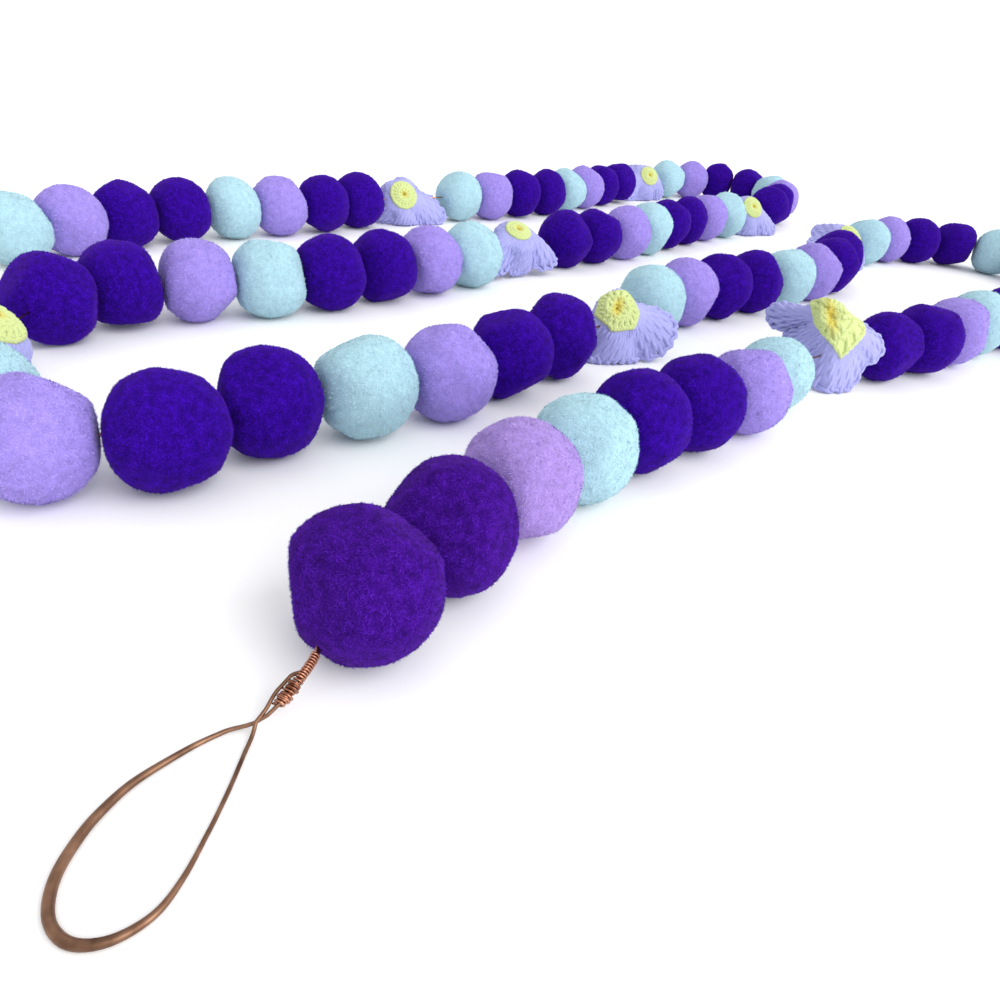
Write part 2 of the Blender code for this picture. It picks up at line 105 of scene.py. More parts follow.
world = bpy.data.worlds.new("white room")
bpy.context.scene.world = world
world.use_nodes = True
world.node_tree.nodes["Background"].inputs["Color"].default_value = (1, 1, 1, 1)
world.node_tree.nodes["Background"].inputs["Strength"].default_value = ROOM_LIGHT
lamp_data = bpy.data.lights.new("window_right", "SUN")
lamp_data.energy = WINDOW_STRENGTH
lamp_data.angle = WINDOW_SOFTNESS
lamp = bpy.data.objects.new("window_right", lamp_data)
bpy.context.scene.collection.objects.link(lamp)
lamp.rotation_euler = Vector(WINDOW_SIDE).to_track_quat("Z", "Y").to_euler()
bpy.context.scene.view_settings.view_transform = "Standard"


# The string's path along the table, the same points as in the part, and where each piece sits on it. The
# pieces repeat as dark, dark, lavender, mint, dark, dark, lavender, mint, flower.
ROUTE = (
    (-18.9, 91.1), (-7.3, 111.8), (5, 132), (32, 167), (63, 196), (74.2, 213.3), (100, 238), (144, 269),
    (177, 300), (213, 326), (247, 355), (272, 386), (283, 420), (274, 449), (256, 464), (235, 468),
    (194, 453), (159, 414), (138, 366), (109, 333), (75, 302), (44, 270), (31, 241), (10, 217),
    (-17, 180), (-53, 150), (-67, 132), (-86, 121),
    (-108, 134), (-125, 164), (-128, 194),
    (-116, 215), (-81, 239), (-51, 269), (-23, 301), (15, 350), (45, 382), (70, 419), (97, 455),
    (133, 495), (157, 544), (163, 568), (154, 590), (139, 603), (122, 604), (104, 595),
    (86, 582), (69, 556), (47, 534), (12, 477), (-16, 443), (-47, 412), (-88, 371), (-99, 354),
    (-130, 323), (-158, 291), (-181, 245), (-190, 225),
)
ORDER = ("PPLMPPLMF" * 10)[:-1]
STRING_HEIGHT = 12.0
FLOWER_SPAN = 39.4                         # the string that a flower takes
BARE_WIRE = {22: 1.5, 41: 1.0, 43: 3.6}    # bare string after a piece
EYE_SLOPE = math.radians(26.0)             # below level, from an end pom-pom down to the table
# The first piece of each stretch and the string that a pom-pom takes there.
STRETCHES = ((0, 22.3), (27, 23.5), (31, 22.3), (36, 23.5), (45, 21.5), (62, 22.6), (72, 21.6))


def smooth_route(points, steps=12):
    """Points on a Catmull-Rom curve through the route's own points."""
    flat = [Vector(p) for p in points]
    flat = [flat[0] * 2 - flat[1]] + flat + [flat[-1] * 2 - flat[-2]]
    curve = []
    for a, b, c, d in zip(flat, flat[1:], flat[2:], flat[3:]):
        for i in range(steps):
            t = i / steps
            curve.append(0.5 * (2 * b + (c - a) * t + (2 * a - 5 * b + 4 * c - d) * t * t
                                + (3 * b - a - 3 * c + d) * t ** 3))
    curve.append(flat[-2])
    return curve


def string_taken(piece):
    if ORDER[piece] == "F":
        return FLOWER_SPAN
    return [pitch for first, pitch in STRETCHES if first <= piece][-1]


def thread_pieces():
    """The middle of each piece, at its distance along the string."""
    curve = smooth_route(ROUTE)
    wanted, distance = [0.0], 0.0
    for i in range(len(ORDER) - 1):
        distance += (string_taken(i) + string_taken(i + 1)) / 2 + BARE_WIRE.get(i, 0.0)
        wanted.append(distance)
    places, walked = [], 0.0
    for a, b in zip(curve, curve[1:]):
        step = (b - a).length
        while len(places) < len(wanted) and wanted[len(places)] <= walked + step:
            spot = a.lerp(b, (wanted[len(places)] - walked) / step) - TABLE_MIDDLE
            places.append(Vector((spot.x, spot.y, STRING_HEIGHT)))
        walked += step
    return places


def dipped(heading):
    """A level heading turned down to the table at the hanging eye's slope."""
    level = Vector((heading[0], heading[1], 0.0)).normalized()
    return level * math.cos(EYE_SLOPE) - Vector((0, 0, math.sin(EYE_SLOPE)))


FRONT_HEADING = (-0.485, -0.875)
BACK_HEADING = (-0.42, -0.907)
places = thread_pieces()
ways = [(b - a).normalized() for a, b in zip(places, places[1:])]
arrivals = [-dipped(FRONT_HEADING)] + ways
departures = ways + [dipped(BACK_HEADING)]


# Pom-poms: balls of cut acrylic yarn, 25 mm across, trimmed to a short dense pile and squeezed against each
# other on the wire, so each has flat cheeks, a few dents and a flat spot where it sits on the table.
POM_RADIUS = 12.45                         # to the roots of the outermost fibres
POM_SIZES = {0: 1.04, 3: 0.97, 6: 0.96, 7: 0.88, 9: 0.92}   # those that the scissors cut unlike the rest
POM_TRIMS = 9                              # flattish cuts that the scissors leave
TRIM_DEPTHS = (0.1, 1.9)
TRIM_SOFTNESS = 0.9
CHEEK_SOFTNESS = 1.5
SWELLS = ((0.034, 1.7), (0.026, 3.6), (0.012, 9.0))      # lumps: share of the radius, how many across
FLAT_SPOT = (0.1, 0.5)                     # how far above the table it sits, and its softness
POM_GAP = 0.25                             # between two pom-poms' cheeks
OUTER_REACH = 12.1                         # a cheek that no pom-pom presses
PILE_LENGTH = 0.62
PILE_WIDTH = 0.15
PILE_LEAN = (48, 88)                       # degrees off the upright
FIBRE_SIZES = (0.55, 1.25)
COMB_DRIFT = 420.0                         # scale of the drifts in which the pile lies
COMB_STRENGTH = 4.0
# Within this distance of the eye: fibres a pom-pom, and rounds of detail in the ball under them.
FULLNESS = ((215, 15000, 4), (330, 7500, 4), (1e6, 4300, 3))
FEWER_LONGER, FEWER_WIDER = 0.12, 0.5      # where there are fewer fibres, each is longer and wider by these powers

# The roots' colour is painted shade deep in the pile, also worn by the ball under the fibres; the tips are the
# yarn's own colour.
PILE_COLOURS = {                           # roots, tips
    "P": ((0.016, 0.0008, 0.140), (0.066, 0.007, 0.560)),
    "L": ((0.250, 0.185, 0.560), (0.470, 0.375, 0.860)),
    "M": ((0.300, 0.470, 0.540), (0.530, 0.800, 0.880)),
}
# Roots and tips of a redder yarn; here too the roots' colour is painted shade.
REDDER_LOTS = {                            # the yarn of the first three pieces
    "P": ((0.025, 0.0016, 0.125), (0.098, 0.016, 0.440)),
    "L": ((0.280, 0.185, 0.510), (0.520, 0.378, 0.770)),
}
PILE_NAMES = {"P": "dark purple pile", "L": "lavender pile", "M": "mint pile"}
MOTTLES = {"P": 0.38, "L": 0.14, "M": 0.10}
GRAINS = {"P": 0.20, "L": 0.22, "M": 0.14}  # how far one fibre differs from the next
SHEENS = {"P": (0.20, (0.42, 0.12, 1.0)), "L": (0.15, (0.9, 0.85, 1.0)), "M": (0.20, (0.9, 1.0, 1.0))}
SHEEN_ROUGHNESS = 0.45
PILE_ROUGHNESS, PILE_GLOSS = 0.92, 0.03
PILE_RELIEF = (0.35, 0.0003)               # strength, and depth in metres
SPECKLE_SCALE, PATCH_SCALE = 2900.0, 620.0
# Below these shares a fibre keeps the roots' darker colour, painted shade within the pile.
TIP_SHARE, SPECKLE_SHARE, LEAST_SHARE = 0.50, 0.54, 0.04     # what makes a fibre pale: its tip, chance, always
PATCH_CONTRAST = 4.0


def new_socket(tree, name, kind, way="INPUT", value=None):
    socket = tree.interface.new_socket(name=name, in_out=way, socket_type=kind)
    if value is not None:
        socket.default_value = value
    return socket


def wire_up(tree, *pairs):
    for source, target in pairs:
        tree.links.new(source, target)


def math_node(tree, operation, a, b=0.0):
    node = tree.nodes.new("ShaderNodeMath")
    node.operation = operation
    for socket, value in zip(node.inputs, (a, b)):
        if isinstance(value, (int, float)):
            socket.default_value = value
        else:
            tree.links.new(value, socket)
    return node.outputs[0]


def vector_node(tree, operation, a, b=None, scale=None):
    node = tree.nodes.new("ShaderNodeVectorMath")
    node.operation = operation
    for socket, value in ((node.inputs[0], a), (node.inputs[1], b), (node.inputs[3], scale)):
        if value is None:
            continue
        if isinstance(value, (int, float, tuple)):
            socket.default_value = value
        else:
            tree.links.new(value, socket)
    return node.outputs["Value"] if operation in ("LENGTH", "DOT_PRODUCT") else node.outputs["Vector"]


def random_node(tree, kind, low, high, seed):
    node = tree.nodes.new("FunctionNodeRandomValue")
    node.data_type = kind
    for socket in node.inputs:
        if socket.enabled and socket.name == "Min":
            socket.default_value = low
        if socket.enabled and socket.name == "Max":
            socket.default_value = high
        if socket.name == "Seed":
            if isinstance(seed, int):
                socket.default_value = seed
            else:
                tree.links.new(seed, socket)
    return [output for output in node.outputs if output.enabled][0]


def store_node(tree, geometry, name, domain, value):
    node = tree.nodes.new("GeometryNodeStoreNamedAttribute")
    node.data_type = "FLOAT"
    node.domain = domain
    node.inputs["Name"].default_value = name
    wire_up(tree, (geometry, node.inputs["Geometry"]), (value, node.inputs["Value"]))
    return node.outputs["Geometry"]


def pile_tree():
    """Short tapered fibres over a surface, combed in drifts, each a flat blade that lies partly down."""
    tree = bpy.data.node_groups.new("cut pile", "GeometryNodeTree")
    new_socket(tree, "Geometry", "NodeSocketGeometry")
    new_socket(tree, "Fibres a square metre", "NodeSocketFloat", value=5e6)
    new_socket(tree, "Length", "NodeSocketFloat", value=PILE_LENGTH * MM)
    new_socket(tree, "Width", "NodeSocketFloat", value=PILE_WIDTH * MM)
    new_socket(tree, "Lean from", "NodeSocketFloat", value=math.radians(PILE_LEAN[0]))
    new_socket(tree, "Lean to", "NodeSocketFloat", value=math.radians(PILE_LEAN[1]))
    new_socket(tree, "Seed", "NodeSocketInt", value=1)
    new_socket(tree, "Finish", "NodeSocketMaterial")
    new_socket(tree, "Geometry", "NodeSocketGeometry", "OUTPUT")
    given = tree.nodes.new("NodeGroupInput").outputs
    result = tree.nodes.new("NodeGroupOutput").inputs

    blade = tree.nodes.new("GeometryNodeMeshCircle")
    blade.fill_type = "NGON"
    blade.inputs["Vertices"].default_value = 3
    blade.inputs["Radius"].default_value = 1.0
    stand = tree.nodes.new("GeometryNodeTransform")
    stand.inputs["Rotation"].default_value = (0, -math.pi / 2, 0)
    stand.inputs["Translation"].default_value = (0, 0, 0.5)
    size = tree.nodes.new("ShaderNodeCombineXYZ")
    size.inputs["X"].default_value = 1.0
    shape = tree.nodes.new("GeometryNodeTransform")
    where = tree.nodes.new("GeometryNodeInputPosition")
    parts = tree.nodes.new("ShaderNodeSeparateXYZ")
    wire_up(tree, (blade.outputs["Mesh"], stand.inputs["Geometry"]), (where.outputs[0], parts.inputs[0]),
            (math_node(tree, "DIVIDE", given["Width"], math.sqrt(3)), size.inputs["Y"]),
            (math_node(tree, "DIVIDE", given["Length"], 1.5), size.inputs["Z"]))
    tipped = store_node(tree, stand.outputs["Geometry"], "tip", "POINT",
                        math_node(tree, "DIVIDE", parts.outputs["Z"], 1.5))
    wire_up(tree, (tipped, shape.inputs["Geometry"]), (size.outputs[0], shape.inputs["Scale"]))

    scatter = tree.nodes.new("GeometryNodeDistributePointsOnFaces")
    wire_up(tree, (given["Geometry"], scatter.inputs["Mesh"]), (given["Seed"], scatter.inputs["Seed"]),
            (given["Fibres a square metre"], scatter.inputs["Density"]))
    normal = scatter.outputs["Normal"]
    drift = tree.nodes.new("ShaderNodeTexNoise")
    drift.inputs["Scale"].default_value = COMB_DRIFT
    drift.inputs["Detail"].default_value = 1.0
    stray = random_node(tree, "FLOAT_VECTOR", (-1, -1, -1), (1, 1, 1), 7)
    combed = vector_node(tree, "SUBTRACT", drift.outputs["Color"], (0.5, 0.5, 0.5))
    combed = vector_node(tree, "SCALE", combed, scale=COMB_STRENGTH)
    across = vector_node(tree, "NORMALIZE", vector_node(
        tree, "CROSS_PRODUCT", normal, vector_node(tree, "ADD", combed, stray)))
    lean = tree.nodes.new("ShaderNodeMapRange")
    wire_up(tree, (random_node(tree, "FLOAT", 0.0, 1.0, 11), lean.inputs["Value"]),
            (given["Lean from"], lean.inputs["To Min"]), (given["Lean to"], lean.inputs["To Max"]))
    rise = vector_node(tree, "SCALE", normal, scale=math_node(tree, "COSINE", lean.outputs["Result"]))
    slide = vector_node(tree, "SCALE", across, scale=math_node(tree, "SINE", lean.outputs["Result"]))
    upright = tree.nodes.new("FunctionNodeAlignRotationToVector")
    upright.axis = "Z"
    facing = tree.nodes.new("FunctionNodeAlignRotationToVector")
    facing.axis = "X"
    facing.pivot_axis = "Z"
    wire_up(tree, (vector_node(tree, "ADD", rise, slide), upright.inputs["Vector"]),
            (upright.outputs[0], facing.inputs["Rotation"]), (normal, facing.inputs["Vector"]))

    plant = tree.nodes.new("GeometryNodeInstanceOnPoints")
    wire_up(tree, (scatter.outputs["Points"], plant.inputs["Points"]),
            (shape.outputs["Geometry"], plant.inputs["Instance"]),
            (facing.outputs[0], plant.inputs["Rotation"]),
            (random_node(tree, "FLOAT", *FIBRE_SIZES, 5), plant.inputs["Scale"]))
    named = store_node(tree, plant.outputs["Instances"], "strand", "INSTANCE",
                       random_node(tree, "FLOAT", 0.0, 1.0, 3))
    join = tree.nodes.new("GeometryNodeJoinGeometry")
    made = tree.nodes.new("GeometryNodeRealizeInstances")
    finish = tree.nodes.new("GeometryNodeSetMaterial")
    wire_up(tree, (named, join.inputs[0]), (given["Geometry"], join.inputs[0]),
            (join.outputs[0], made.inputs[0]), (made.outputs[0], finish.inputs["Geometry"]),
            (given["Finish"], finish.inputs["Material"]), (finish.outputs[0], result["Geometry"]))
    return tree


def pile_shades():
    """Colour and relief of pile: dark at the roots as painted shade within the pile, lighter at the tips, mottled,
    and no two fibres alike.
    """
    tree = bpy.data.node_groups.new("pile shades", "ShaderNodeTree")
    new_socket(tree, "Roots", "NodeSocketColor")
    new_socket(tree, "Tips", "NodeSocketColor")
    new_socket(tree, "Mottle", "NodeSocketFloat", value=0.25)
    new_socket(tree, "Grain", "NodeSocketFloat", value=0.25)
    new_socket(tree, "Colour", "NodeSocketColor", "OUTPUT")
    new_socket(tree, "Relief", "NodeSocketFloat", "OUTPUT")
    given = tree.nodes.new("NodeGroupInput").outputs
    result = tree.nodes.new("NodeGroupOutput").inputs
    where = tree.nodes.new("ShaderNodeTexCoord").outputs["Object"]
    speckle = tree.nodes.new("ShaderNodeTexNoise")
    speckle.inputs["Scale"].default_value = SPECKLE_SCALE
    speckle.inputs["Detail"].default_value = 1.0
    patches = tree.nodes.new("ShaderNodeTexNoise")
    patches.inputs["Scale"].default_value = PATCH_SCALE
    patches.inputs["Detail"].default_value = 2.5
    # The ball under the fibres has no tip, so it wears the roots' colour: painted shade between the fibres.
    tip = tree.nodes.new("ShaderNodeAttribute")
    tip.attribute_name = "tip"
    strand = tree.nodes.new("ShaderNodeAttribute")
    strand.attribute_name = "strand"
    blend = tree.nodes.new("ShaderNodeMix")
    blend.data_type = "RGBA"
    spread = math_node(tree, "MULTIPLY", math_node(tree, "SUBTRACT", strand.outputs["Fac"], 0.5),
                       math_node(tree, "MULTIPLY", given["Grain"], 2.0))
    height = math_node(tree, "ADD", math_node(tree, "MULTIPLY", tip.outputs["Fac"], TIP_SHARE), spread)
    height = math_node(tree, "ADD", height, math_node(tree, "MULTIPLY", speckle.outputs["Fac"], SPECKLE_SHARE))
    height = math_node(tree, "ADD", height, LEAST_SHARE)
    wire_up(tree, (where, speckle.inputs["Vector"]), (where, patches.inputs["Vector"]),
            (height, blend.inputs["Factor"]), (given["Roots"], blend.inputs["A"]),
            (given["Tips"], blend.inputs["B"]))
    shade = math_node(tree, "ADD", 1.0, math_node(tree, "MULTIPLY", given["Mottle"], math_node(
        tree, "MULTIPLY", PATCH_CONTRAST, math_node(tree, "SUBTRACT", patches.outputs["Fac"], 0.5))))
    tone = vector_node(tree, "SCALE", blend.outputs["Result"], scale=shade)
    wire_up(tree, (tone, result["Colour"]), (speckle.outputs["Fac"], result["Relief"]))
    return tree


def pile_finish(kind, shades, colours):
    roots, tips = colours
    material, shader = plain_finish(PILE_NAMES[kind], tips, PILE_ROUGHNESS)
    tree = material.node_tree
    group = tree.nodes.new("ShaderNodeGroup")
    group.node_tree = shades
    group.inputs["Roots"].default_value = (*roots, 1.0)
    group.inputs["Tips"].default_value = (*tips, 1.0)
    group.inputs["Mottle"].default_value = MOTTLES[kind]
    group.inputs["Grain"].default_value = GRAINS[kind]
    relief = tree.nodes.new("ShaderNodeBump")
    relief.inputs["Strength"].default_value, relief.inputs["Distance"].default_value = PILE_RELIEF
    sheen, tint = SHEENS[kind]
    shader.inputs["Sheen Weight"].default_value = sheen
    shader.inputs["Sheen Roughness"].default_value = SHEEN_ROUGHNESS
    shader.inputs["Sheen Tint"].default_value = (*tint, 1.0)
    shader.inputs["Specular IOR Level"].default_value = PILE_GLOSS
    wire_up(tree, (group.outputs["Colour"], shader.inputs["Base Color"]),
            (group.outputs["Relief"], relief.inputs["Height"]),
            (relief.outputs["Normal"], shader.inputs["Normal"]))
    return material


def pressed(point, way, reach, softness):
    """The point moved back along a way, so that nothing passes reach, with a soft edge."""
    start = reach - softness
    past = point.dot(way) - start
    if past <= 0:
        return point
    return point + way * (softness * (1 - math.exp(-past / softness)) - past)


def pom_core(index, reach_back, reach_on, rounds):
    """The trimmed, squeezed ball under the pile, as a mesh."""
    dice = random.Random(400 + index)
    trims = []
    for _ in range(POM_TRIMS):
        way = Vector([dice.gauss(0, 1) for _ in range(3)]).normalized()
        trims.append((way, POM_RADIUS - dice.uniform(*TRIM_DEPTHS)))
    drift = Vector([dice.uniform(-50, 50) for _ in range(3)])
    size = POM_SIZES.get(index, 1.0)
    along = (departures[index] + arrivals[index]).normalized()
    sunk = Vector((0, 0, POM_RADIUS * (1 - size)))
    bm = bmesh.new()
    bmesh.ops.create_icosphere(bm, subdivisions=rounds, radius=1.0)
    for vertex in bm.verts:
        way = vertex.co.normalized()
        swell = sum(height * noise.noise(way * often + drift) for height, often in SWELLS)
        point = way * POM_RADIUS * (1 + swell)
        for trim, reach in trims:
            point = pressed(point, trim, reach, TRIM_SOFTNESS)
        point = along * point.dot(along) + (point - along * point.dot(along)) * size - sunk
        point = pressed(point, departures[index], reach_on, CHEEK_SOFTNESS)
        point = pressed(point, -arrivals[index], reach_back, CHEEK_SOFTNESS)
        point = pressed(point, Vector((0, 0, -1)), STRING_HEIGHT - FLAT_SPOT[0], FLAT_SPOT[1])
        vertex.co = (places[index] + point) * MM
    for face in bm.faces:
        face.smooth = True
    mesh = bpy.data.meshes.new(f"pom_{index:02d}")
    bm.to_mesh(mesh)
    bm.free()
    return mesh


def keep_on_table(mesh, lowest=0.00004):
    """Fibres under a piece bend along the table and don't pass through it."""
    spots = np.empty(len(mesh.vertices) * 3, dtype=np.float32)
    mesh.vertices.foreach_get("co", spots)
    heights = spots[2::3]
    heights[heights < lowest] = lowest
    mesh.vertices.foreach_set("co", spots)
    mesh.update()


def settle(thing, tree, **inputs):
    """Runs a node tree on an object once, with these inputs, and leaves a plain mesh."""
    modifier = thing.modifiers.new(tree.name, "NODES")
    modifier.node_group = tree
    keys = {item.name: item.identifier for item in tree.interface.items_tree if item.in_out == "INPUT"}
    for name, value in inputs.items():
        modifier[keys[name.replace("_", " ")]] = value
    thing.data.update()
    graph = bpy.context.evaluated_depsgraph_get()
    mesh = bpy.data.meshes.new_from_object(thing.evaluated_get(graph))
    old = thing.data
    thing.modifiers.clear()
    thing.data = mesh
    bpy.data.meshes.remove(old)
    return thing


def pom_pom(index, rounds, fibres, finish):
    """One pom-pom as an object, with its pile."""
    reaches = []
    for other in (index - 1, index + 1):
        if 0 <= other < len(ORDER) and "F" not in (ORDER[index], ORDER[other]):
            reaches.append(((places[other] - places[index]).length - POM_GAP) / 2)
        else:
            reaches.append(OUTER_REACH)
    mesh = pom_core(index, reaches[0], reaches[1], rounds)
    mesh.materials.append(finish)
    thing = bpy.data.objects.new(f"pom_{index:02d}", mesh)
    bpy.context.scene.collection.objects.link(thing)
    area = 4 * math.pi * (POM_RADIUS * MM) ** 2
    fewer = FULLNESS[0][1] / fibres
    settle(thing, PILE, Fibres_a_square_metre=fibres / area, Seed=index + 1, Finish=finish,
           Length=PILE_LENGTH * MM * fewer ** FEWER_LONGER, Width=PILE_WIDTH * MM * fewer ** FEWER_WIDER,
           Lean_from=math.radians(PILE_LEAN[0]), Lean_to=math.radians(PILE_LEAN[1]))
    keep_on_table(thing.data)
    return thing


def joined(name, things):
    """Several objects made one piece, under one name."""
    first = things[0]
    if len(things) > 1:
        with bpy.context.temp_override(active_object=first, object=first, selected_objects=things,
                                       selected_editable_objects=things):
            bpy.ops.object.join()
    first.name = name
    first.data.name = name
    return first


PILE = pile_tree()
shades = pile_shades()
pile_finishes = {kind: pile_finish(kind, shades, PILE_COLOURS[kind]) for kind in "PLM"}
first_finishes = {kind: pile_finish(kind, shades, REDDER_LOTS[kind]) for kind in "PL"}
PALE_PAIRS_APART = 8                       # lavender and mint are two pieces up to here, and one after it
counts = {"P": 0, "L": 0}
index = 0
while index < len(ORDER):
    kind = ORDER[index]
    if kind == "F":
        index += 1
        continue
    counts["P" if kind == "P" else "L"] += 1
    pair = []
    for one in (index, index + 1):
        far = (places[one] - eye).length
        fibres, rounds = [(count, detail) for reach, count, detail in FULLNESS if far < reach][0]
        dyed = first_finishes if one < 3 else pile_finishes
        pair.append(pom_pom(one, rounds, fibres, dyed[ORDER[one]]))
    if kind == "P":
        nodes = [("P", f"dark_pair_{counts['P']:02d}", pair)]
    elif counts["L"] <= PALE_PAIRS_APART:
        nodes = [("L", f"lavender_{counts['L']:02d}", pair[:1]), ("M", f"mint_{counts['L']:02d}", pair[1:])]
    else:
        nodes = [("L", f"pale_pair_{counts['L']:02d}", pair)]
    for slot, node, things in nodes:
        piece = joined(f"{node}_pile", things)
        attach(piece, "root")
        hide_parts(node)
    index += 2


# Crocheted flowers: two rounds of pale yellow cotton round a pulled-in hole, then five petals of tall
# stitches in periwinkle cotton, joined at a corded rim. The wire goes in behind the face.
NOTCH_LENGTH = 18.0
FULL_SIDE = ((1, 4), 24.0, 0.4)            # after this flower's petal: a longer notch and less crease
CREASE_LENGTH = 5.0
DIMPLE_WIDTH = 2.2
FOLD_STRETCH = 1.7                         # a fold draws the dimple and the hollow out by this
FLAT_LENGTH = 4.0
BENT_LENGTH = 15.5
CLOTH_THICKNESS = 2.4
CENTRE_DOME = 1.6
FLOWER_DIMPLE = 1.8
CREASE_DEPTH = 3.2
CREASED_FROM = 8.0
FOLD_LENGTH = 3.5
TUCKED_FROM = 3.0
PRESS = 13.9
FLOOR_LIFT = 0.15


def round_corners(radius):
    """Twelve corners round a circle, for yellow rounds that nothing pulls out of shape."""
    return tuple((30 * k, radius) for k in range(12))


# Where each flower looks (0 is the viewer's right, -90 is straight at the viewer), its lean from level, its
# height, how far it sits ahead and to the right, the ways of its petals, the way and angle of its fold over
# the string and of the tuck behind the yellow, the yellow's corners, and each petal's bend and length.
FLOWERS = (
    {"looks": -84, "lean": 62, "height": 24.5, "ahead": 3, "shift": -5, "ways": (-12, 75, 168, 235, 303),
     "fold": (195, 75), "tuck": (67, 100), "yellow": ((2, 16.0), (125, 9.0), (200, 4.5), (300, 13.5)),
     "petals": ((26, 27), (30, 20), (8, 27), (5, 22), (34, 29))},
    {"looks": -35, "lean": 35, "height": 17, "ahead": 2, "shift": 0, "ways": (0, 72, 144, 216, 288),
     "fold": (180, 10), "tuck": (90, 0), "yellow": round_corners(7.0),
     "petals": ((60, 24), (95, 22), (85, 22), (60, 24), (70, 22))},
    {"looks": -60, "lean": 46, "height": 17, "ahead": 2, "shift": 0, "ways": (-25, 47, 119, 191, 263),
     "fold": (180, 0), "tuck": (90, 0), "yellow": round_corners(6.4),
     "petals": ((40, 24), (60, 22), (60, 22), (22, 25), (45, 27))},
    {"looks": -68, "lean": 44, "height": 17, "ahead": 3, "shift": -4, "ways": (-12, 62, 130, 202, 268),
     "fold": (150, 40), "tuck": (90, 0),
     "yellow": ((-10, 7.4), (50, 7.8), (115, 7.2), (185, 6.4), (250, 7.2), (310, 7.8)),
     "petals": ((12, 24), (70, 24), (100, 21), (30, 24), (50, 28))},
    {"looks": 20, "lean": 38, "height": 17, "ahead": 2, "shift": 0, "ways": (0, 72, 144, 216, 288),
     "fold": (180, 10), "tuck": (90, 0), "yellow": round_corners(7.0),
     "petals": ((60, 23), (90, 22), (85, 22), (60, 23), (70, 22))},
    {"looks": -58, "lean": 26, "height": 18.5, "ahead": 1, "shift": -3, "ways": (-10, 62, 134, 206, 278),
     "fold": (180, 0), "tuck": (90, 0), "yellow": round_corners(4.6),
     "petals": ((38, 26), (70, 23), (100, 21), (34, 24), (88, 22))},
    {"looks": -62, "lean": 50, "height": 16, "ahead": 6, "shift": -6, "ways": (-20, 52, 124, 196, 268),
     "fold": (180, 0), "tuck": (90, 0), "yellow": round_corners(5.6),
     "petals": ((28, 28), (80, 22), (100, 21), (62, 21), (52, 25))},
    {"looks": -66, "lean": 52, "height": 16, "ahead": 2, "shift": 0, "ways": (-18, 54, 126, 198, 270),
     "fold": (180, 0), "tuck": (90, 0), "yellow": round_corners(5.6),
     "petals": ((50, 24), (80, 22), (60, 23), (-10, 26), (60, 25))},
    {"looks": -58, "lean": 56, "height": 14.5, "ahead": 5, "shift": -6, "ways": (-14, 58, 130, 202, 274),
     "fold": (180, 0), "tuck": (90, 0), "yellow": round_corners(6.0),
     "petals": ((24, 28), (60, 24), (85, 22), (62, 22), (52, 25))},
)
STITCHES_A_PETAL = 8
YELLOW_ROUNDS = ((-0.80, -0.46, 8), (-0.50, -0.02, 18))      # from, to, stitches
YELLOW_CORDS = (                           # where, ply radius, turns, depth, points
    (-0.47, 0.62, 12, 0.35, 84), (0.01, 0.70, 20, 0.65, 84), (-0.83, 0.50, 5, 0.75, 36),
)
CLOTH_SHARE = 0.60                         # of the thickness, for the ground that the stitches cover
PLY_RADIUS = 0.62
PERIWINKLE = ((0.235, 0.230, 0.500), (0.380, 0.385, 0.730))
PALE_YELLOW = ((0.400, 0.460, 0.160), (0.575, 0.660, 0.290))
# painted shade: the drawn-in hollow at the yellow's middle is darkened to this ochre, where shade falls
PAINTED_HOLLOW_SHADE = (0.560, 0.460, 0.070)
HOLLOW_WIDTH = 1.7                         # half the width of the shaded hollow; a fold makes it longer
HOLLOW_BLUR = 1.35


def smooth_step(value):
    value = min(max(value, 0.0), 1.0)
    return value * value * (3.0 - 2.0 * value)


def petal_place(ways, angle):
    """Which petal lies in this direction, with the share of the way to the next one."""
    turned = (math.degrees(angle) - ways[0]) % 360.0
    stops = [way - ways[0] for way in ways] + [360.0]
    for here, (start, stop) in enumerate(zip(stops, stops[1:])):
        if turned <= stop:
            return here, (turned - start) / (stop - start)
    return 0, 0.0


def corner_reach(corners, angle):
    """Distance from the middle to the straight sides between these corners."""
    here, share = petal_place([way for way, _ in corners], angle)
    after = (here + 1) % len(corners)
    spread = math.radians((corners[after][0] - corners[here][0]) % 360.0)
    start, stop, turned = corners[here][1], corners[after][1], spread * share
    return start * stop * math.sin(spread) / (start * math.sin(turned) + stop * math.sin(spread - turned))


